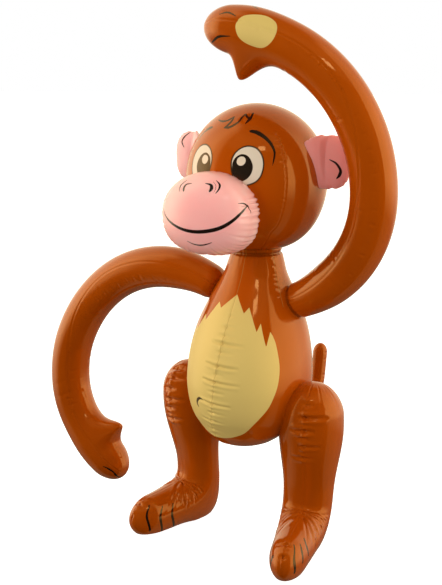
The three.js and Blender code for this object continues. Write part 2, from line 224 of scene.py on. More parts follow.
def leg(side, x, y, longer, splay, lean):
    """A leg on one side, with its foot's extra length, and the degrees that it turns and leans outwards"""
    thigh, shin, ankle, bend, foot, above_ankle = 45, 58, 25, 40, 70, 20
    splay, lean = splay * RAD, lean * RAD
    line = ArcLine(
        start=(side * x, y, LEG.top),
        out=(side * math.sin(splay), -math.cos(splay), 0),
        up=(side * math.sin(lean), 0, math.cos(lean)),
        heading=-80,
        arcs=(thigh, shin, ankle, bend, foot + longer),
        turns=(-14, -4, 8, 78, 12),
    )
    bend_start = thigh + shin + ankle
    shin_end = bend_start - above_ankle
    heel = bend_start + LEG.heel * bend
    wide = [
        (0, LEG.hip * LEG.thigh_width), (LEG.knee, LEG.thigh_width),
        (shin_end, LEG.shin_width), (heel, FOOT.heel_width), (line.length, FOOT.toe_width),
    ]
    deep = [
        (0, LEG.thigh_depth), (LEG.knee, LEG.thigh_depth), (shin_end, LEG.shin_depth),
        (heel, FOOT.half_height), (line.length, FOOT.half_height),
    ]
    lobe = dict(place=heel, inner=-1, height=FOOT.swell, before=FOOT.before, after=FOOT.after)
    lobe.update(lean=0, sharpness=2)
    return dict(line=line, wide=wide, deep=deep, caps=(LEG.cap, FOOT.toe_cap), lobe=lobe)


RAISED_LINE = ArcLine(
    (34, 13, NECK - 54.5), (1, 0, 0), (0, -math.sin(7 * RAD), math.cos(7 * RAD)), 20.2,
    arcs=(16, 60, 90, 90, 90, 81), turns=(2, 22.7, 43, 34.6, 36.4, 24),
)
LOWERED_LINE = ArcLine(
    (-36, 13, NECK - 47.5), (-math.cos(2 * RAD), math.sin(2 * RAD), 0), (0, 0, 1), 28.5,
    arcs=(70, 90, 90, 60, 50, 84), turns=(-27.4, -36.1, -30.9, -27.6, -32.2, -26),
)
TAIL_LINE = ArcLine(
    (BODY.x, 28, BODY.bottom + 18), (math.sin(5 * RAD), math.cos(5 * RAD), 0), (0, 0, 1), -8,
    arcs=(85, 42, 39), turns=(6, 82, 4),
)
RAISED = arm(RAISED_LINE, 1)
LOWERED = arm(LOWERED_LINE, -1)
LEFT_LEG = leg(1, 76.5, 0, 4, 12, 3)
RIGHT_LEG = leg(-1, 71, 6, 0, 18, 0)
TAIL_RADII = [(0, TAIL.radius), (TAIL_LINE.length, TAIL.radius)]
TAIL_LIMB = dict(
    line=TAIL_LINE, wide=TAIL_RADII, deep=TAIL_RADII, caps=(TAIL.cap, TAIL.tip_cap), lobe=None
)


# From the drawn frame to the row frame
head_low, head_high = (np.array(corner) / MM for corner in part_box("head"))
SHIFT = (head_low + head_high) / 2 - np.array([HEAD.x, HEAD.y, HEAD.z])


# The camera of the photograph: its azimuth and downward tilt in degrees, its distance to the upright axis,
# its height, how far it is moved to its left, and its focal length over the frame's height
VIEW = Sizes(azimuth=31.0, tilt=12.0, distance=1000.0, height=473.0, pan=28.4, focal=1000.0 / 585)
SENSOR = 36  # mm


def add_object(name, data):
    """A new object in the scene"""
    new = bpy.data.objects.new(name, data)
    bpy.context.scene.collection.objects.link(new)
    return new


def set_inputs(node, values):
    for name, value in values.items():
        node.inputs[name].default_value = value


def make_camera():
    azimuth, tilt = VIEW.azimuth * RAD, VIEW.tilt * RAD
    away = np.array([math.sin(azimuth), -math.cos(azimuth), 0])
    right = np.array([math.cos(azimuth), math.sin(azimuth), 0])
    forward = -away * math.cos(tilt) + np.array([0, 0, -math.sin(tilt)])
    up = np.cross(right, forward)
    place = away * VIEW.distance + np.array([0, 0, VIEW.height]) - right * VIEW.pan
    data = bpy.data.cameras.new("camera")
    data.sensor_fit = "VERTICAL"
    data.sensor_height = SENSOR
    data.lens = SENSOR * VIEW.focal
    camera = add_object("camera", data)
    world = Matrix(np.column_stack([right, up, -forward]).tolist()).to_4x4()
    world.translation = Vector((place + SHIFT) * MM)
    camera.matrix_world = world
    bpy.context.scene.camera = camera


make_camera()


# Grids: rows run along a piece and columns round it. The first and last row are single points.
def columns(parts):
    """Turns round a piece in radians, from -180 degrees on, in parts of (degrees where it ends, count)"""
    turns, begin = [], -180
    for end, count in parts:
        turns.append(np.linspace(begin, end, count, endpoint=False))
        begin = end
    return np.concatenate(turns) * RAD


def even_rows(count):
    return (np.arange(count) + 0.5) / count


def grid(rows, turns):
    """The share or place and the turn of each point of a grid"""
    return np.meshgrid(rows, turns, indexing="ij")


POLES = (np.array([0.0, 1.0]), np.zeros(2))  # shares and turns of a grid's two end points


def normals(points):
    """Outward directions of a grid of points whose columns run round it"""
    along = np.gradient(points, axis=0)
    around = np.roll(points, -1, axis=1) - np.roll(points, 1, axis=1)
    cross = np.cross(along, around)
    normal = cross / (np.linalg.norm(cross, axis=-1, keepdims=True) + 1e-12)
    outward = ((points - points.mean((0, 1))) * cross).sum()
    return normal if outward > 0 else -normal


def lifted(points, relief):
    return points + normals(points) * relief[..., None]


def build(name, points, ends, values, material, nodes):
    """A closed, smooth mesh from a grid, its two end points, and named values for its points"""
    rows, cols = points.shape[:2]
    vertices = np.concatenate([points.reshape(-1, 3), np.array(ends)])
    index = np.arange(rows * cols).reshape(rows, cols)
    beside = np.roll(index, -1, axis=1)
    quads = np.stack([index[:-1], beside[:-1], beside[1:], index[1:]], -1).reshape(-1, 4)
    first = np.stack([np.full(cols, rows * cols), beside[0], index[0]], -1)
    last = np.stack([np.full(cols, rows * cols + 1), index[-1], beside[-1]], -1)
    centre = vertices.mean(0)
    corner = vertices[quads]
    facing = np.cross(corner[:, 2] - corner[:, 0], corner[:, 3] - corner[:, 1])
    if (facing * (corner.mean(1) - centre)).sum() < 0:
        quads, first, last = quads[:, ::-1], first[:, ::-1], last[:, ::-1]
    mesh = bpy.data.meshes.new(name)
    faces = quads.tolist() + first.tolist() + last.tolist()
    mesh.from_pydata(((vertices + SHIFT) * MM).tolist(), [], faces)
    mesh.shade_smooth()
    mesh.validate()
    for label, value in values.items():
        both = np.concatenate([value.ravel(), [value[0].mean(), value[-1].mean()]])
        mesh.attributes.new(label, "FLOAT", "POINT").data.foreach_set("value", both.astype(np.float32))
    mesh.materials.append(material)
    piece = add_object(name, mesh)
    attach(piece, "root")
    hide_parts(*nodes)
    return piece


# Relief of the film, in millimetres outwards
FAR = 99.0  # mm, an offset or distance that is out of reach


def bell(off, width):
    return np.exp(-((off / width) ** 2))


def sharp(off, width, blunt=0.15, tip=0.38):
    """A pointed bell: how deep a fold is at an offset from its line"""
    return np.exp(-(np.sqrt(off**2 + blunt) - tip) / width)


def degrees_from(angle, turn):
    """Degrees from an angle to turns in radians, between -180 and 180"""
    return (turn / RAD - angle + 180) % 360 - 180


def nearest(first, second):
    return np.where(np.abs(first) < np.abs(second), first, second)


def walk(random, begin, end, shortest, longest):
    """Places from begin to a little beyond end, in steps of random length"""
    at = begin
    while at < end:
        at += random.uniform(shortest, longest)
        yield at


def crease(u, v, begin, end, depth, width, puff=0.45, hold=1.2):
    """A sharp fold from begin to end on a chart, deepest at begin and running out at end, with puffed lips"""
    run = np.array(end, float) - np.array(begin, float)
    length = np.hypot(*run)
    du, dv = u - begin[0], v - begin[1]
    share = (du * run[0] + dv * run[1]) / length**2
    off = (du * run[1] - dv * run[0]) / length
    before = bell(np.minimum(share, 0) * length, 1.5 * width)
    fade = before * np.clip(1 - share, 0, 1) ** hold
    lips = puff * bell(np.abs(off) - 2.4 * width, 1.6 * width)
    return depth * fade * (lips - sharp(off, width))


def groove(off, depth, width):
    """A welded seam: a narrow groove with a faint raised lip on either side"""
    return depth * (0.5 * bell(off, 2.6 * width) - 1.3 * bell(off, width))


def ring_folds(turn, away, count, deep, long, width, random):
    """Folds that run away from a weld all round a piece: away is the distance from the weld in mm"""
    relief = np.zeros(turn.shape)
    for i in range(count):
        middle = (i + random.uniform(0.25, 0.75)) / count * 360 - 180
        off = degrees_from(middle, turn) * width
        depth, reach = deep * random.uniform(0.5, 1.2), long * random.uniform(0.5, 1.3)
        fade = np.exp(-((np.maximum(away, 0) / reach) ** 1.3))
        relief += depth * fade * (0.4 * bell(np.abs(off) - 2.2, 1.5) - sharp(off, 0.9))
    return relief


# Prints on a chart. A filled shape is held as its signed distance, a stroke as offset and half width.
def bent(points, closed=False, steps=8):
    """Points joined by smooth curves"""
    p = np.array(points, float)
    before, after = (p[-1:], p[:2]) if closed else (2 * p[:1] - p[1:2], 2 * p[-1:] - p[-2:-1])
    p = np.concatenate([before, p, after])
    t = np.arange(steps)[:, None] / steps
    runs = [
        0.5 * (2 * b + (c - a) * t + (2 * a - 5 * b + 4 * c - d) * t**2 + (3 * b - a - 3 * c + d) * t**3)
        for a, b, c, d in zip(p, p[1:], p[2:], p[3:])
    ]
    return np.concatenate(runs + ([] if closed else [p[-2:-1]]))


NO_INK = -3.0  # mm, the half width of a stroke where it isn't printed
INK_REACH = 4  # mm from a stroke's line at which its width no longer matters


def to_segments(u, v, line):
    """For each point: distance, signed offset, share along and index of the nearest segment of a line"""
    best = [np.full(u.shape, 1e9)] + [np.zeros(u.shape) for _ in range(4)]
    for i, (a, b) in enumerate(zip(line[:-1], line[1:])):
        run = b[:2] - a[:2]
        length = math.hypot(*run) + 1e-9
        du, dv = u - a[0], v - a[1]
        raw = (du * run[0] + dv * run[1]) / length**2
        share = np.clip(raw, 0, 1)
        distance = np.hypot(du - share * run[0], dv - share * run[1])
        nearer = distance < best[0]
        offset = (du * run[1] - dv * run[0]) / length
        past = np.maximum(np.maximum(-raw, raw - 1), 0) * length
        for held, value in zip(best, (distance, offset, share, np.full(u.shape, i), past)):
            held[nearer] = value[nearer]
    return best


def shape_distance(u, v, outline):
    """Signed distance to a closed outline, negative inside"""
    line = np.concatenate([outline, outline[:1]])
    distance = to_segments(u, v, line)[0]
    inside = np.zeros(u.shape, bool)
    for a, b in zip(line[:-1], line[1:]):
        crosses = (a[1] > v) != (b[1] > v)
        rise = b[1] - a[1]
        inside ^= crosses & (u < a[0] + (v - a[1]) * (b[0] - a[0]) / (rise if rise else 1e-9))
    return np.where(inside, -distance, distance)


def ink(u, v, strokes):
    """Offset from, and half width of, the nearest of some strokes, each a line of (u, v, half width)"""
    strokes = [bent(line) for line in strokes]
    offset, width = np.full(u.shape, FAR), np.full(u.shape, NO_INK)
    for line in strokes:
        distance, off, share, i, past = to_segments(u, v, line)
        i = i.astype(int)
        half = mix(line[i, 2], line[i + 1, 2], share) - past
        half = np.where(distance > INK_REACH, NO_INK, half)
        nearer = half - np.abs(off) > width - np.abs(offset)
        offset, width = np.where(nearer, off, offset), np.where(nearer, half, width)
    return offset, width


# Materials
COLOURS = dict(
    film=(0.42, 0.068, 0.001),
    film_dark=(0.36, 0.054, 0.0006),
    cream=(0.65, 0.48, 0.145),
    ink=(0.012, 0.006, 0.004),
    white=(0.68, 0.58, 0.45),
    pupil=(0.012, 0.008, 0.006),
    pink=(1.0, 0.46, 0.425),
    # The two ears share one pink film: ear_left's darker colour is painted shade, from the raised arm beside
    # it, and ear_right's paler colour is painted light
    ear_left=(0.95, 0.36, 0.31),
    ear_right=(0.98, 0.52, 0.48),
    # weld: painted shade, a dark band along the welds where the head and the arms meet the torso
    weld=(0.13, 0.02, 0.0004),
    cream_seam=(0.35, 0.2, 0.05),
    valve=(0.62, 0.33, 0.20),
)
ROUGHNESS = dict(film=0.055, muzzle=0.2, ear=0.16, pupil=0.25, print=0.3, patch=0.42, palm=0.38, valve=0.3)
GLOSS = 1.0
EAR_GLOSS = 0.4
GLOSS_TINT = (1.0, 0.58, 0.2)  # the film's gloss is warm
WHITE_GLOSS = (1.0, 0.95, 0.9)
EDGE = 0.25  # mm over which a print's edge turns from one colour to the other
# Noise scales of the film: clouds in its colour, grain in its gloss, and its slow and fine unevenness
CLOUD, GRAIN, WOBBLE, FINE = 22, 900, 55, 700
GRAIN_DEPTH = 0.03
WOBBLE_HEIGHT, FINE_HEIGHT = 0.25, 0.012
BUMP_STRENGTH, BUMP_DISTANCE = 0.22, 0.002


class Wiring:
    """Shorthand for adding nodes to a tree"""

    def __init__(self, tree):
        self.nodes, self.links = tree.nodes, tree.links

    def noise(self, place, scale, detail):
        node = self.nodes.new("ShaderNodeTexNoise")
        set_inputs(node, {"Scale": scale, "Detail": detail})
        self.links.new(place, node.inputs["Vector"])
        return node.outputs["Fac"]

    def math(self, kind, *inputs, clamp=False):
        node = self.nodes.new("ShaderNodeMath")
        node.operation = kind
        node.use_clamp = clamp
        for socket, value in zip(node.inputs, inputs):
            if isinstance(value, (int, float)):
                socket.default_value = value
            else:
                self.links.new(value, socket)
        return node.outputs[0]

    def blend(self, share, a, b):
        node = self.nodes.new("ShaderNodeMix")
        node.data_type = "RGBA"
        self.links.new(share, node.inputs["Factor"])
        first, second = (socket for socket in node.inputs if socket.type == "RGBA")
        for socket, value in ((first, a), (second, b)):
            if isinstance(value, tuple):
                socket.default_value = (*value, 1)
            else:
                self.links.new(value, socket)
        return next(socket for socket in node.outputs if socket.type == "RGBA")


class Film(Wiring):
    """A glossy film whose prints come from the mesh's own values; dark is how dark the clouds in it are"""

    def __init__(self, name, base="film", dark=None, roughness="film", tint=GLOSS_TINT, gloss=GLOSS):
        self.material = bpy.data.materials.new(name)
        self.material.use_nodes = True
        super().__init__(self.material.node_tree)
        self.shader = self.nodes["Principled BSDF"]
        set_inputs(self.shader, {"IOR": 1.5, "Specular IOR Level": gloss, "Specular Tint": (*tint, 1)})
        place = self.nodes.new("ShaderNodeTexCoord").outputs["Object"]
        cloud = tuple(dark * part for part in COLOURS[base]) if dark else COLOURS["film_dark"]
        self.colour = self.blend(self.noise(place, CLOUD, 3), COLOURS[base], cloud)
        grain = self.noise(place, GRAIN, 2)
        self.rough = self.math("MULTIPLY_ADD", grain, GRAIN_DEPTH, ROUGHNESS[roughness] - GRAIN_DEPTH / 2)
        wobble = self.math("MULTIPLY", self.noise(place, WOBBLE, 2), WOBBLE_HEIGHT)
        height = self.math("MULTIPLY_ADD", self.noise(place, FINE, 3), FINE_HEIGHT, wobble)
        bump = self.nodes.new("ShaderNodeBump")
        set_inputs(bump, {"Strength": BUMP_STRENGTH, "Distance": BUMP_DISTANCE})
        self.links.new(height, bump.inputs["Height"])
        self.links.new(bump.outputs["Normal"], self.shader.inputs["Normal"])

    def value(self, name):
        node = self.nodes.new("ShaderNodeAttribute")
        node.attribute_name = name
        return node.outputs["Fac"]

    def fill(self, name, colour, roughness=None, grow=0.0):
        """Paints where a signed distance is below grow"""
        mask = self.math("MULTIPLY_ADD", self.value(name), -1 / EDGE, 0.5 + grow / EDGE, clamp=True)
        self.paint(mask, colour, roughness)

    def stroke(self, name, colour, share=1.0, wide=None):
        """Paints where an offset is less than a half width, which is one number or the mesh's own value"""
        away = self.math("ABSOLUTE", self.value(name + "_off"))
        inside = self.math("SUBTRACT", wide or self.value(name + "_wide"), away)
        mask = self.math("MULTIPLY_ADD", inside, 1 / EDGE, 0.5, clamp=True)
        if share < 1:
            mask = self.math("MULTIPLY", mask, share)
        self.paint(mask, colour, None)

    def paint(self, mask, colour, roughness):
        self.colour = self.blend(mask, self.colour, COLOURS[colour])
        if roughness is not None:
            more = self.math("SUBTRACT", ROUGHNESS[roughness], self.rough)
            self.rough = self.math("MULTIPLY_ADD", more, mask, self.rough)

    def glow(self, weight, radius):
        """Lets light spread inside the film, as in a thin pale one"""
        values = {"Subsurface Weight": weight, "Subsurface Radius": radius, "Subsurface Scale": 1.0}
        set_inputs(self.shader, values)

    def done(self):
        self.links.new(self.colour, self.shader.inputs["Base Color"])
        self.links.new(self.rough, self.shader.inputs["Roughness"])
        return self.material


# Head
FACE = -0.9  # mm from straight ahead to the middle of the printed face
# Outlines of an eye, its pupil and its glint (place and radius), as mm to the left and height on the chart
EYE = [
    (11.8, 17), (12.6, 25.5), (17.2, 31.9), (24.2, 34.8), (32.3, 32.6), (38.5, 26), (41.3, 17.4), (40.1, 8.6),
    (36, 3), (29.5, 0), (21.9, -1), (15.4, 5),
]
PUPIL = [
    (12.1, 16.1), (14, 23.6), (20, 27.5), (27.2, 24.8), (32, 16.5), (31, 9.1), (26.6, 4), (20.4, 2),
    (14.5, 7),
]
GLINT = (20.4, 20.9, 4.3)
EYE_RIM = 1.4  # mm of ink round the white
# Brows and hair are strokes: rows of (mm to the left of the face's middle, height on the chart, half width)
BROWS = [
    [
        (21.6, 51.7, 1.5), (28.3, 50, 2), (37.5, 44.4, 1.6), (45.1, 37.5, 1.3), (50.3, 29.6, 1),
        (50.9, 22, 0.7), (50.3, 16.5, 0.2),
    ],
    [(-24.8, 54.6, 1.1), (-30.5, 52.8, 1.5), (-36, 48.6, 1), (-41.5, 43, 0.6), (-45, 38, 0.2)],
]
HAIR = [
    [(-21.5, 64.6, 0.5), (-13, 63.1, 1), (-7.2, 64.8, 0.9), (-4.1, 68.3, 0.8), (-2.5, 71, 0.3)],
    [(-2.5, 71, 0.3), (-2.3, 64.7, 0.9), (-3.8, 59.1, 1), (-6.7, 55, 0.7)],
    [
        (-6.7, 55, 0.6), (-1.7, 55.6, 1.2), (2.2, 58.3, 1.1), (5.9, 63.5, 0.9), (6.4, 69.4, 0.8),
        (7.4, 74.9, 0.7),
    ],
    [(7.4, 74.9, 0.7), (11.2, 70.6, 0.8), (14.7, 67.6, 0.8)],
    [(14.1, 77.5, 0.6), (15.2, 70.3, 0.9), (15.1, 66.5, 1.3), (14.1, 63, 0.9), (13.6, 60.5, 0.3)],
]
# Height on the head's chart, and azimuth in degrees of the seam beside the face
HEAD_SEAM = [
    (-90, 37.5), (-54.5, 42), (-40.7, 48), (-19.2, 51), (0, 51.8), (17.1, 51.4), (35.1, 50.2), (51, 47.2),
    (59, 42), (100, 29),
]
SEAM_TOP, SEAM_FADE = 54, 10  # mm, where the seam runs out on the forehead
HEAD_CHART = 72  # mm of height on the head's chart for a radian


def mirrored(points):
    return [(-p[0], *p[1:]) for p in points]


def thicker(lines, times):
    return [[(u, v, times * half) for u, v, half in line] for line in lines]


def head_seams(turn, up, ring):
    """Offset from the nearest of the seams, two beside the face and two behind"""
    beside = smooth(HEAD_SEAM, up)
    seam_off = np.full(turn.shape, FAR)
    for side in (-1, 1):
        for seam in (side * beside, side * (180 - beside)):
            seam_off = nearest(degrees_from(seam, turn) * RAD * HEAD.depth * ring, seam_off)
    return np.where(up > SEAM_TOP, FAR, seam_off)


def head_pleats(random, across, up):
    """Short folds that start at the seams and run away from the face's sides"""
    relief = np.zeros(up.shape)
    for side in (-1, 1):
        for front in (True, False):
            for at in walk(random, -62, 46, 4, 8):
                angle = float(smooth(HEAD_SEAM, np.array(at)))
                angle = side * (angle if front else 180 - angle)
                upper = at > 15
                long = random.uniform(4, 9) if upper else random.uniform(2, 5)
                deep = random.uniform(0.4, 1.1) if upper else random.uniform(0.12, 0.4)
                begin = (angle * RAD * float(HEAD.depth * np.cos(at / HEAD_CHART)), at)
                way = -side if front else side
                end = (begin[0] + way * long, at + random.uniform(-1, 1.5))
                relief += crease(across, up, begin, end, deep, 0.8)
    return relief


def both_sides(u, v, outline):
    """Signed distance to a closed outline and its mirror image"""
    return np.minimum(*(shape_distance(u, v, bent(line, True)) for line in (outline, mirrored(outline))))


def make_head(random):
    rows = np.concatenate([even_rows(60) * 0.36, 0.36 + even_rows(190) * 0.5, 0.86 + even_rows(22) * 0.14])
    share, turn = grid(rows, columns([(-60, 60), (60, 190), (180, 70)]))
    points = head_point(share, turn)
    polar = share * np.pi
    ring = np.sin(polar) ** np.where(polar < np.pi / 2, HEAD.jaw, 1)
    across = turn * HEAD.depth * ring
    up = HEAD_CHART * (polar - np.pi / 2)
    seam_off = head_seams(turn, up, ring)
    relief = groove(seam_off, 0.4, 0.8) * np.clip((SEAM_TOP - up) / SEAM_FADE, 0, 1)
    relief += head_pleats(random, across, up)
    neck = bell(points[..., 2] - (NECK - 1), 5) * (points[..., 2] < NECK + 26)
    relief -= neck * 0.25 * np.maximum(0, np.sin(turn * 17 + 2 * np.sin(turn * 3))) ** 3
    u = across - FACE
    in_front = np.abs(turn) < 1.5
    glints = np.minimum(*(np.hypot(u - side * GLINT[0], up - GLINT[1]) - GLINT[2] for side in (-1, 1)))
    near = (np.abs(u) < 75) & (up > 0) & (np.abs(turn) < 1.9)
    off, wide = ink(u, up, BROWS[:1] + thicker(BROWS[1:] + HAIR, 1.35))
    values = dict(
        eye=np.where(in_front, both_sides(u, up, EYE), FAR),
        pupil=np.where(in_front, both_sides(u, up, PUPIL), FAR),
        glint=np.where(in_front, glints, FAR),
        ink_off=off,
        ink_wide=np.where(near, wide, NO_INK),
        seam_off=seam_off,
    )
    film = Film("brown_film_head")
    film.stroke("seam", "film_dark", 0.6, 0.35)
    film.fill("eye", "ink", "print", EYE_RIM)
    film.fill("eye", "white", "print")
    film.fill("pupil", "pupil", "pupil")
    film.fill("glint", "white", "print")
    film.stroke("ink", "ink")
    points = lifted(points, relief)
    build("head_film", points, head_point(*POLES), values, film.done(), ["head"])


# Muzzle
SMILE = [
    (-41.5, 6, 0.3), (-34, -1.5, 0.7), (-27, -6.2, 0.95), (-15.8, -10.8, 1.2), (-4.5, -13.2, 1.4),
    (7.2, -13.3, 1.55), (20.5, -11.2, 1.6), (30.6, -7.8, 1.55), (40.4, -1.8, 1.35), (48.4, 5.6, 1.05),
    (54.9, 12.6, 0.7),
]
SMILE_END = [
    (44.7, 14.8, 0.2), (50, 15.4, 0.7), (54.1, 14, 0.9), (57.1, 10.8, 0.6), (59, 7.2, 0.45), (60.2, 4.3, 0.2),
]
CHIN = [(-7.9, -24.1, 0.2), (-1.3, -27.1, 0.6), (5.6, -27.7, 0.75), (12.6, -26.1, 0.6), (18.8, -23.6, 0.25)]
NOSE = [
    [(-14.6, 35.8, 0.3), (-18.6, 29.4, 0.7), (-17.3, 22.8, 0.3)],
    [(-5.5, 31.9, 0.3), (-11.6, 30.3, 0.8), (-12.8, 26.6, 1.1), (-11.8, 23.4, 0.7)],
    [(9.6, 33, 0.3), (15.6, 31.7, 1), (17.4, 28.1, 1.4), (16.4, 24.8, 0.9)],
    [(19.3, 38.2, 0.2), (24.3, 33.2, 0.8), (24.7, 27.9, 0.7), (22.6, 23.3, 0.3)],
]
MUZZLE_RIM = 0.68  # share of the way from its foremost point to its back where the pleats begin
PLEAT_CHART = 44  # mm round the rim for a radian


def muzzle_pleats(random, share, turn):
    """Folds that run in from the rim, long ones below and at the sides and short ones above"""
    relief = np.zeros(share.shape)
    for angle in walk(random, -178, 178, 5.5, 11):
        low = np.cos(angle * RAD) < 0.5
        reach = random.uniform(0.26, 0.52) if low else random.uniform(0.12, 0.22)
        deep = random.uniform(0.8, 2.4) if low else random.uniform(0.6, 1.1)
        run = (MUZZLE_RIM - share) / reach
        off = degrees_from(angle + random.uniform(-2, 2) * run, turn) * RAD * PLEAT_CHART
        fade = np.clip(1 - run, 0, 1) ** 1.2 * (share < 0.99)
        relief += deep * fade * (0.6 * bell(np.abs(off) - 3, 2) - sharp(off, 1.3, 0.2, 0.44))
    return relief


def make_muzzle(random):
    share, turn = grid(even_rows(170), columns([(180, 330)]))
    points = muzzle_point(share, turn)
    # The chart of the muzzle: the way over the film from its foremost point
    ends = muzzle_point(*POLES)
    arc = np.linalg.norm(np.diff(points, axis=0, prepend=ends[0] + 0 * points[:1]), axis=-1).cumsum(0)
    facing = np.arctan2(points[..., 2] - MUZZLE.z, points[..., 0] - MUZZLE.x)
    strokes = thicker([SMILE, CHIN], 1.15) + [SMILE_END] + thicker(NOSE, 1.25)
    off, wide = ink(arc * np.cos(facing), arc * np.sin(facing), strokes)
    values = dict(ink_off=off, ink_wide=np.where(share < 0.6, wide, NO_INK))
    film = Film("pink_film_muzzle", "pink", 0.92, "muzzle", WHITE_GLOSS)
    film.stroke("ink", "ink")
    film.glow(1.0, (0.06, 0.05, 0.05))
    points = lifted(points, muzzle_pleats(random, share, turn))
    build("muzzle_film", points, ends, values, film.done(), ["muzzle"])


# Torso
# The belly patch, as mm to the left on the film and height: its jagged top and its round rest
PATCH_TOP = [
    (-60, 212), (-49, 232), (-46.5, 226), (-34.3, 242.8), (-31, 237.2), (-15.9, 256.6), (-11.5, 251.4),
    (3.4, 265.2), (16.3, 248.8), (19.9, 254.4), (34.5, 232.4), (36.3, 240.2), (48.0, 218.0), (48.6, 232),
]
PATCH_SIDE = [
    (52.5, 228), (58, 219.6), (64, 205), (66.4, 193), (65.4, 179), (60.4, 166), (53.6, 155.6), (39, 141.5),
    (26, 130.5), (14, 125), (3, 121.8), (-8, 121), (-20, 123.5), (-32, 131), (-43, 142.5), (-53.6, 156.6),
    (-61, 168), (-65.4, 181), (-66.4, 193), (-64, 205),
]
NAVEL = [
    (-17.6, 163, 0.4), (-22.2, 163.2, 1.3), (-26.2, 160.2, 1.6), (-27.2, 156.6, 1.1), (-24.6, 153.2, 0.4),
]
# Height, and azimuth in degrees of the seam down the belly
BELLY_SEAM = [
    (100, -14), (124, -12), (147.6, -5.6), (161.8, -3.3), (182.9, -1.4), (201.8, 0.3), (221.1, 1.5),
    (264, 3.5), (320, 4),
]
# Height, reach to its right and left, and depth of the folds that cross the belly's seam
BELLY_FOLDS = [
    (246, 8, 10, 0.5), (236, 7, 15, 0.8), (228, 8, 16, 0.8), (220.5, 14, 25, 1.6), (212.5, 6, 16, 0.9),
    (199, 17, 24, 1.9), (191, 5, 10, 0.6), (183, 17, 29, 1.9), (173, 8, 14, 0.8), (160.5, 19, 22, 1.8),
    (151, 7, 18, 0.9), (141.5, 15, 15, 1.1), (131, 8, 10, 0.7), (124, 8, 9, 0.6),
]
BELLY_FOLD = dict(width=1.05, puff=0.65, hold=0.6)
# Azimuth in degrees of the seams at the shoulders, and the height from which they go up to the neck
SHOULDER_SEAM, SHOULDER_FROM = 68, 252
# The neck's weld: how far below the neck it lies, the width of its groove and of the painted shade along it,
# and the groove's depth
NECK_WELD = Sizes(below=1.5, width=1.8, depth=1.6)


def make_torso(random):
    share, turn = grid(even_rows(320), columns([(-70, 60), (70, 180), (180, 60)]))
    points = body_point(share, turn)
    z = points[..., 2]
    wide, front, back, _ = body_section(z)
    round_ = (wide + np.where(np.cos(turn) > 0, front, back)) / 2
    u = turn * round_

    def on_chart(angle, height, column):
        """Place on the film of an azimuth in degrees, by how round the body is in one column of the grid"""
        return angle * RAD * float(np.interp(height, z[:, 0], round_[:, column]))

    seam_off = (turn / RAD - smooth(BELLY_SEAM, z)) * RAD * round_
    for angle in (SHOULDER_SEAM, -SHOULDER_SEAM, 180):
        off = degrees_from(angle, turn) * RAD * round_
        if angle != 180:
            off = np.where(z < SHOULDER_FROM, FAR, off)
        seam_off = nearest(off, seam_off)
    relief = groove(seam_off, 0.4, 0.8) * np.clip((270 - z) / 20, 0.15, 1)
    for height, right, left, deep in BELLY_FOLDS:
        seam = float(smooth(BELLY_SEAM, np.array(height)))
        middle = on_chart(seam, height, turn.shape[1] // 2)
        for end in ((middle + left, height - 0.06 * left), (middle - right, height + 0.1 * right)):
            relief += crease(u, z, (middle, height), end, deep, **BELLY_FOLD)
    for angle in (SHOULDER_SEAM, -SHOULDER_SEAM):
        for at in walk(random, SHOULDER_FROM + 4, NECK - 1, 3.5, 8):
            middle = on_chart(angle, at, 0)
            for way in (-1, 1):
                end = (middle + way * random.uniform(3, 7), at + random.uniform(-2, 2))
                relief += crease(u, z, (middle, at), end, random.uniform(0.05, 0.35), 0.9)
    relief += ring_folds(turn, NECK + 2 - z, 13, 0.6, 11, 0.45, random) * (z > 230)
    weld_off = z - NECK + NECK_WELD.below
    relief -= NECK_WELD.depth * bell(weld_off, NECK_WELD.width)
    outline = np.concatenate([np.array(PATCH_TOP, float), bent(PATCH_SIDE)])
    off, half = ink(u, z, [NAVEL])
    values = dict(
        patch=shape_distance(np.where(np.abs(turn) < 1.9, u, 2 * FAR), z, outline),
        ink_off=off,
        ink_wide=np.where(np.abs(turn) < 1, half, NO_INK),
        seam_off=seam_off,
        weld_off=weld_off,
    )
    film = Film("brown_film_torso")
    # Painted shade: a dark band along the neck weld, under the head
    film.stroke("weld", "weld", 0.6, NECK_WELD.width)
    film.fill("patch", "cream", "patch")
    film.stroke("seam", "cream_seam", 0.45, 0.4)
    film.stroke("ink", "ink")
    points = lifted(points, relief)
    build("torso_film", points, body_point(*POLES), values, film.done(), ["torso"])


# Limbs
BURY = 3.0  # mm that a limb's skin begins inside the body
LIMB_START = 0.2  # mm, the first place on a limb
# Offset from the weld and width of the band of painted shade round each arm's root
ARM_WELD_SHADE = Sizes(off=3.5, width=1.5)


def limb_grid(limb, rows, cols):
    """Places and turns of a limb's skin, and how far each place is from the weld"""
    around = np.arange(cols) / cols * 2 * np.pi - np.pi
    length, cap = limb["line"].length, limb["caps"][1]
    fine, turn = grid(np.linspace(LIMB_START, 0.75 * length, 900), around)
    inside = in_body(limb_point(place=fine, turn=turn, **limb), BURY)
    inside &= np.cumsum(~inside, axis=0) == 0
    weld = np.where(inside.any(0), fine[np.maximum(inside.sum(0) - 1, 0), 0], LIMB_START)
    for _ in range(6):
        weld = (np.roll(weld, 1) + weld + np.roll(weld, -1)) / 3
    tip_rows = rows // 6
    body_share = np.linspace(0, 1, rows - tip_rows, endpoint=False)[:, None]
    tip_share = np.sin(np.arange(tip_rows) / tip_rows * np.pi / 2)[:, None] + 0 * weld
    place = np.concatenate([weld + body_share * (length - cap - weld), length - cap * (1 - tip_share)])
    return place, around + 0 * place, place - weld, weld


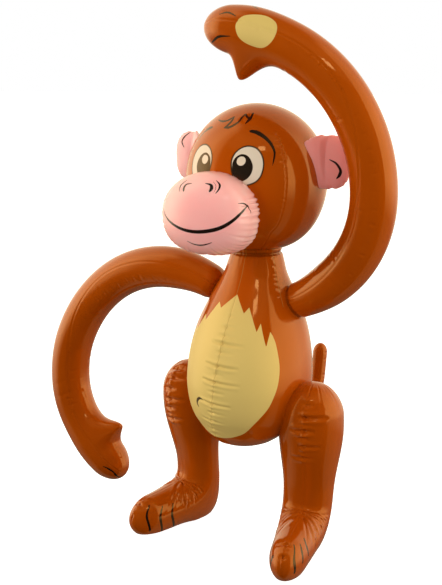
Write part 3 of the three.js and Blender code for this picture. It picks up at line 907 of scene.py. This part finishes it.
def make_limb(name, limb, rows, cols, relief_of, strokes, material, patch=None):
    place, turn, away, weld = limb_grid(limb, rows, cols)
    points = limb_point(place=place, turn=turn, **limb)
    round_ = turn * (smooth(limb["wide"], place) + smooth(limb["deep"], place)) / 2
    relief = relief_of(place, turn, round_, away) * np.clip((away - 1) / 3, 0, 1)
    points = lifted(points, relief)
    points[..., 2] = np.maximum(points[..., 2], 0.0)
    ends = limb["line"].at(np.array([weld.mean(), limb["line"].length]))[0]
    off, half = ink(place, round_, strokes)
    # weld_off places the band of painted shade round an arm's root
    values = dict(ink_off=off, ink_wide=half, weld_off=away - ARM_WELD_SHADE.off)
    if patch is not None:
        values["patch"] = shape_distance(place, round_, patch)
    build(name + "_film", points, ends, values, material, [name])


# The raised arm's seam: place along the arm, and angle
RAISED_SEAM = [(40, 70), (146, 68), (200, 84), (270, 117), (320, 122), (360, 118)]
MIRRORED_SEAM = [(place, -angle) for place, angle in RAISED_SEAM]
# Prints on the hands, as place along the arm and mm round it
PALM = [
    (369.4, 59.8), (358.8, 61.5), (348, 57), (343, 49), (342.8, 40.2), (347, 33), (354, 29.6), (366.4, 30.6),
    (376, 34.5), (380.8, 41), (382, 47), (378.5, 55),
]
FINGERS = [
    [(402.5, 51.5, 0.4), (394.5, 55.5, 1.1), (385, 53.8, 0.4)],
    [(413, 19, 0.5), (406, 26, 1.1), (398.9, 31, 1.1), (386.5, 34.2, 0.4)],
    [(381.2, 76, 0.6), (376, 73, 0.9), (370.5, 69.3, 0.4)],
]
LOWERED_FINGERS = [[(424, -38, 0.4), (431, -38.5, 1.2), (438, -35, 1.1), (443, -20, 0.6)]]


def arm_relief(random, inner, seam, length):
    """An arm's folds at its weld, its seam with short folds on both sides, and loose creases"""

    def relief(place, turn, round_, away):
        out = ring_folds(turn, away, 15, 0.9, 9, 0.36, random)
        out += groove(away - 5.5, 0.55, 1.2)
        out += groove((turn / RAD - smooth(seam, place)) * RAD * ARM.upper, 0.55, 0.85)
        out -= 1.3 * bell(away - 4.5, 1.6)
        for angle in (seam[3][1], seam[3][1] - 180):
            middle = angle * RAD * ARM.upper
            for at in walk(random, 30, length - 70, 7, 17):
                for way in (-1, 1):
                    end = (at + random.uniform(-2, 2), middle + way * random.uniform(3, 9))
                    out += crease(place, round_, (at, middle), end, random.uniform(0.05, 0.45), 0.8)
        for _ in range(26):
            at = random.uniform(40, length - 75)
            start = random.uniform(-34, 34)
            if inner < 0:
                start = start + (70 if start < 0 else -70)
            long = random.uniform(8, 22) * random.choice([-1, 1])
            end = (at + random.uniform(-3, 3), start + long)
            deep, width = random.uniform(0.15, 0.5), random.uniform(1.0, 2.2)
            out += crease(place, round_, (at, start), end, deep, width)
        return out
    return relief


def make_arms(random):
    film = Film("brown_film_arm")
    # Painted shade: a dark band round each arm's root at the torso
    film.stroke("weld", "weld", 0.6, ARM_WELD_SHADE.width)
    film.fill("patch", "cream", "palm")
    film.stroke("ink", "ink")
    material = film.done()
    length = RAISED_LINE.length
    palm = bent(PALM, True)
    relief = arm_relief(random, 1, RAISED_SEAM, length)
    make_limb("arm_left", RAISED, 400, 128, relief, FINGERS, material, palm)
    palm = palm + [LOWERED_LINE.length - length, 0]
    relief = arm_relief(random, -1, MIRRORED_SEAM, length)
    make_limb("arm_right", LOWERED, 400, 128, relief, LOWERED_FINGERS, material, palm)


# The lines between the toes, as strokes, and the folds at the knees: place, reach to both sides and depth
LEFT_TOES = [
    [(221.9, -8.2, 0.4), (232.8, -19.2, 0.9), (233.9, -37.6, 0.6)],
    [(215.0, -13.3, 0.4), (219.8, -20, 1.0), (223.1, -29.8, 0.5)],
    [(203.6, -14, 0.5), (207.8, -20.7, 1.1), (209.9, -29.6, 0.5)],
]
RIGHT_TOES = [
    [(219.7, -12, 0.5), (226.3, -22.6, 0.7), (223.6, -42.1, 0.7)],
    [(206.2, -19.2, 0.4), (212.5, -29.3, 0.9), (209.6, -47.3, 0.6)],
    [(193.3, -21.6, 0.4), (198.2, -32.5, 0.9), (194.3, -51.2, 0.6)],
]
LEFT_KNEE = [
    (18, 8, 6, 0.7), (29, 24, 7, 2.2), (41, 10, 15, 1.9), (48, 5, 9, 0.9), (57, 17, 5, 1.5), (70, 10, 13, 1.2)
]
RIGHT_KNEE = [
    (9, 15, 12, 1.0), (17, 21, 9, 1.8), (27, 9, 16, 1.2), (37, 19, 8, 1.8), (46, 7, 12, 1.0),
    (58, 15, 14, 1.5),
]
KNEE_FOLD = dict(width=1.35, puff=0.6, hold=0.6)
ANKLE = 160  # the place on the line where the ankle's folds come together


def leg_relief(random, knee):
    """A leg's front seam, the folds at its weld and knee, and the creases at its ankle and toes"""

    def relief(place, turn, round_, away):
        out = groove(round_, 0.4, 0.9)
        out += ring_folds(turn, away, 15, 1.0, 11, 0.5, random)
        for at, left, right, deep in knee:
            for end in ((at - 0.05 * left, -left), (at + 0.1 * right, right)):
                out += crease(place, round_, (at, 0), end, 1.25 * deep, **KNEE_FOLD)
        # The front of the ankle is pressed into folds that fan out to its sides
        for at in walk(random, 142, 190, 4.5, 8.5):
            for way in (-1, 1):
                begin = (ANKLE + 0.4 * (at - ANKLE), way * random.uniform(2, 6))
                end = (at + 0.5 * (at - ANKLE) + random.uniform(-2, 2), way * random.uniform(24, 40))
                deep, width = random.uniform(0.6, 2.0), random.uniform(1.0, 1.7)
                out += crease(place, round_, begin, end, deep, width)
        for _ in range(15):
            for way in (-1, 1):
                begin = (random.uniform(146, 190), way * random.uniform(15, 30))
                end = (begin[0] + random.uniform(2, 7), begin[1] + way * random.uniform(6, 14))
                out += crease(place, round_, begin, end, random.uniform(0.5, 1.2), 0.9)
        for at in (226, 237):
            for way in (-1, 1):
                out += crease(place, round_, (at, 0), (at, way * random.uniform(10, 18)), 1.6, 1.1)
        return out
    return relief


def make_legs(random):
    film = Film("brown_film_leg")
    film.stroke("ink", "ink")
    material = film.done()
    legs = [("leg_left", LEFT_LEG, LEFT_TOES, LEFT_KNEE), ("leg_right", RIGHT_LEG, RIGHT_TOES, RIGHT_KNEE)]
    for name, limb, toes, knee in legs:
        toes = thicker(toes, 1.6)
        toes += [[(place, -off, half) for place, off, half in line[1:]] for line in toes]
        make_limb(name, limb, 280, 160, leg_relief(random, knee), toes, material)


TAIL_SEAM = 13  # mm round the tail


def make_tail(random):
    film = Film("brown_film_tail")
    film.stroke("ink", "film_dark", 0.7)

    def relief(place, turn, round_, away):
        out = groove(round_ - TAIL_SEAM, 0.35, 0.7) + ring_folds(turn, away, 9, 0.5, 6, 0.14, random)
        for at in (112, 121, 130, 148, 156):
            for way in (-1, 1):
                end = (at, TAIL_SEAM + way * random.uniform(3, 7))
                out += crease(place, round_, (at, TAIL_SEAM), end, 0.5, 0.8)
        return out

    seam = [(60, TAIL_SEAM, 0.3), (160, TAIL_SEAM, 0.3)]
    make_limb("tail", TAIL_LIMB, 170, 44, relief, [seam], film.done())


# Ears
# The root of an ear runs forward over the side of the head, from this far out, and this steeply
EAR_BEND_FROM, EAR_BEND = 76, 1.1
EAR_LIP = 71.5  # mm out from the head's middle to the lip beside the weld
EAR_LINES = dict(
    ear_left=[(81.2, 3.1, 0.4), (87.6, -0.2, 1), (91.7, -6.5, 1.2), (90.8, -11.4, 1.4), (87.9, -14.9, 0.5)],
    ear_right=[(79.7, 25.1, 0.3), (86, 19.7, 0.9), (88.3, 14.7, 0.9), (84.9, 9.1, 0.4)],
)


def make_ears(random):
    share, turn = grid(even_rows(110), columns([(180, 150)]))
    rim = np.abs(share - 0.5)
    for side, name in ((1, "ear_left"), (-1, "ear_right")):
        points = ear_point(side, share, turn)
        u = side * (points[..., 0] - HEAD.x)
        v = points[..., 2] - EAR.z
        relief = np.zeros(share.shape)
        for i in range(26):
            angle = (i + random.uniform(0.2, 0.8)) / 26 * 360 - 180
            off = degrees_from(angle, turn) * RAD * 24
            fade = bell(rim, random.uniform(0.08, 0.16))
            relief -= random.uniform(0.4, 1.1) * fade * sharp(off, 1, 0.2, 0.44)
        lip = u - EAR_LIP - 0.1 * (19 - v)
        relief += 0.8 * bell(lip, 1.6) - 0.5 * bell(lip - 4, 2.2)
        points = lifted(points, relief)
        points[..., 1] -= EAR_BEND * np.maximum(0, EAR_BEND_FROM - u)
        off, half = ink(u, v, [EAR_LINES[name]])
        # Each ear's colour holds painted light: ear_left is painted darker as shade, ear_right paler as light
        film = Film("ear_film_painted_light_" + name, name, 0.88, "ear", WHITE_GLOSS, EAR_GLOSS)
        film.stroke("ink", "ink")
        film.glow(0.5, (0.008, 0.006, 0.006))
        ends = ear_point(side, *POLES)
        values = dict(ink_off=off, ink_wide=half)
        build(name + "_film", points, ends, values, film.done(), [name])


# Valve
def make_valve():
    """An outline, as (radius, height above its root), turned round an axis that points to the back"""
    wide, narrow = VALVE.flange_radius, VALVE.plug_radius
    ledge = VALVE.sink + VALVE.flange
    top = ledge + VALVE.plug
    outline = [
        (wide - 0.4, 0), (wide, 0.4), (wide, ledge - 0.5), (wide - 0.5, ledge), (narrow + 0.8, ledge),
        (narrow, ledge + 0.8), (narrow, top - VALVE.bevel), (narrow - 0.3, top - 0.3),
        (narrow - VALVE.bevel, top), (narrow - 2, top - 0.1), (narrow - 2.6, top - 0.8), (1.2, top - 0.8),
        (1.0, top - 0.5), (0.5, top - 0.4),
    ]
    rows = []
    for a, b in zip(outline, outline[1:]):
        rows += [(mix(a[0], b[0], s), mix(a[1], b[1], s)) for s in (0, 0.5)]
    rows = np.array(rows + [outline[-1]])
    radius, turn = grid(rows[:, 0], np.arange(72) / 72 * 2 * np.pi)
    _, _, back, axis = body_section(np.array(float(VALVE.z)))
    centre = np.array([BODY.x, axis + back - VALVE.sink, VALVE.z])
    out = rows[:, 1][:, None] + 0 * turn
    points = centre + np.stack([radius * np.cos(turn), out, radius * np.sin(turn)], -1)
    ends = (centre, centre + [0, float(rows[-1, 1]), 0])
    film = Film("soft_valve_moulded", "valve", 0.92, "valve")
    build("valve_moulded", points, ends, {}, film.done(), ["valve"])


make_head(np.random.RandomState(11))
make_muzzle(np.random.RandomState(12))
make_torso(np.random.RandomState(13))
make_arms(np.random.RandomState(14))
make_legs(np.random.RandomState(15))
make_tail(np.random.RandomState(16))
make_ears(np.random.RandomState(17))
make_valve()


# Studio. Azimuths are counted from the camera to the picture's right.
# Brightness of the surroundings by azimuth: dark beside the camera, soft boxes at the sides, white behind
SIDES = [
    (-180, 1.2), (-128, 1.8), (-100, 2.4), (-82, 1.4), (-70, 0.12), (-58, 0.05), (-44, 0.03), (47, 0.03),
    (50, 1.9), (95, 2.0), (118, 1.4), (180, 1.2),
]
# The walls darken from LOW to HIGH, as the height of the direction, down to DIM of their brightness
LOW, HIGH, DIM = 0.35, 0.85, 0.55
# By height of the direction: a dim panel from this height on, a darker spot above, and less light below
PANEL, PANEL_FROM, PANEL_RISE = 0.25, 0.6, 0.1
ZENITH, ZENITH_FROM, ZENITH_RISE = 0.1, 0.9, 0.07
BELOW, BELOW_FROM, BELOW_RISE = 0.15, -0.1, -0.3
WARM = (1.0, 0.86, 0.62)
# Lamps: azimuth, elevation, distance in metres, size, brightness, and whether it shows in reflections
LAMPS = [
    ("window", 10, 45, 1.6, (0.26, 0.17), 4.0, True),
    ("fill_left", -35, 14, 1.3, (0.8, 0.8), 0.54, False),
    ("fill_right", 30, 14, 1.3, (0.8, 0.8), 0.45, False),
    ("side_left", -85, 18, 1.3, (0.8, 0.8), 0.5, False),
    ("side_right", 78, 18, 1.3, (0.8, 0.8), 0.35, False),
    ("bounce", -5, -40, 1.0, (0.5, 0.5), 0.2, False),
]
LAMP_SPREAD = 60  # degrees
LAMP_AIM = Vector((0, 0, 0.38))  # metres
FLOOR_HALF, FLOOR_Z = 30.0, -0.0003  # metres
FLOOR_GLOW = 0.88


def from_camera(azimuth, elevation):
    """Direction for an azimuth counted from the camera and an elevation, both in degrees"""
    a, e = (VIEW.azimuth + azimuth) * RAD, elevation * RAD
    return Vector((math.sin(a) * math.cos(e), -math.cos(a) * math.cos(e), math.sin(e)))


def make_lamp(name, azimuth, elevation, distance, size, brightness, reflected):
    data = bpy.data.lights.new(name, "AREA")
    data.shape = "RECTANGLE"
    data.size, data.size_y = size
    data.energy = brightness * math.pi * size[0] * size[1]
    data.spread = math.pi if reflected else LAMP_SPREAD * RAD
    lamp = add_object(name, data)
    lamp.location = LAMP_AIM + from_camera(azimuth, elevation) * distance
    lamp.rotation_euler = (LAMP_AIM - lamp.location).to_track_quat("-Z", "Y").to_euler()
    lamp.visible_glossy = reflected
    lamp.visible_camera = False


def make_world():
    world = bpy.data.worlds.new("studio")
    world.use_nodes = True
    bpy.context.scene.world = world
    wire = Wiring(world.node_tree)
    place = wire.nodes.new("ShaderNodeTexCoord").outputs["Generated"]

    def towards(direction):
        dot = wire.nodes.new("ShaderNodeVectorMath")
        dot.operation = "DOT_PRODUCT"
        dot.inputs[1].default_value = direction
        wire.links.new(place, dot.inputs[0])
        return dot.outputs["Value"]

    azimuth = wire.math("ARCTAN2", towards(from_camera(90, 0)), towards(from_camera(0, 0)))
    share = wire.math("MULTIPLY_ADD", azimuth, 0.5 / math.pi, 0.5)
    ramp = wire.nodes.new("ShaderNodeValToRGB")
    ramp.color_ramp.interpolation = "EASE"
    stops = ramp.color_ramp.elements
    top = max(value for _, value in SIDES)
    while len(stops) < len(SIDES):
        stops.new(0.5)
    for stop, (angle, value) in zip(stops, SIDES):
        stop.position = (angle + 180) / 360
        stop.color = (value / top, value / top, value / top, 1)
    wire.links.new(share, ramp.inputs["Fac"])
    side = wire.math("MULTIPLY", ramp.outputs["Color"], top)
    height = towards((0, 0, 1))

    def rise(begin, width):
        return wire.math("MULTIPLY_ADD", height, 1 / width, -begin / width, clamp=True)

    side = wire.math("MULTIPLY", side, wire.math("MULTIPLY_ADD", rise(LOW, HIGH - LOW), DIM - 1, 1.0))
    light = wire.math("MAXIMUM", side, wire.math("MULTIPLY", rise(PANEL_FROM, PANEL_RISE), PANEL))
    above = rise(ZENITH_FROM, ZENITH_RISE)
    light = wire.math("MULTIPLY_ADD", wire.math("SUBTRACT", ZENITH, light), above, light)
    below = wire.math("MULTIPLY_ADD", rise(BELOW_FROM, BELOW_RISE), BELOW - 1, 1.0)
    light = wire.math("MULTIPLY", light, below)
    seen = wire.nodes.new("ShaderNodeLightPath").outputs["Is Camera Ray"]
    strength = wire.math("MULTIPLY_ADD", wire.math("SUBTRACT", 1.0, light), seen, light)
    wire.links.new(strength, wire.nodes["Background"].inputs["Strength"])
    wire.links.new(wire.blend(seen, WARM, (1.0, 1.0, 1.0)), wire.nodes["Background"].inputs["Color"])


def make_floor():
    """A pale floor under the feet that only the camera sees, so that the studio's light stays the same"""
    corners = [(FLOOR_HALF * x, FLOOR_HALF * y, FLOOR_Z) for x, y in ((-1, -1), (1, -1), (1, 1), (-1, 1))]
    mesh = bpy.data.meshes.new("floor")
    mesh.from_pydata(corners, [], [(0, 1, 2, 3)])
    material = bpy.data.materials.new("pale_floor")
    material.use_nodes = True
    values = {"Base Color": (0.8, 0.8, 0.8, 1), "Roughness": 0.9, "Specular IOR Level": 0}
    values.update({"Emission Color": (1, 1, 1, 1), "Emission Strength": FLOOR_GLOW})
    set_inputs(material.node_tree.nodes["Principled BSDF"], values)
    mesh.materials.append(material)
    floor = add_object("floor", mesh)
    floor.visible_diffuse = floor.visible_glossy = floor.visible_shadow = False


def make_studio():
    scene = bpy.context.scene
    make_floor()
    scene.view_settings.view_transform = "Standard"
    scene.view_settings.look = "None"
    for lamp in LAMPS:
        make_lamp(*lamp)
    make_world()


make_studio()
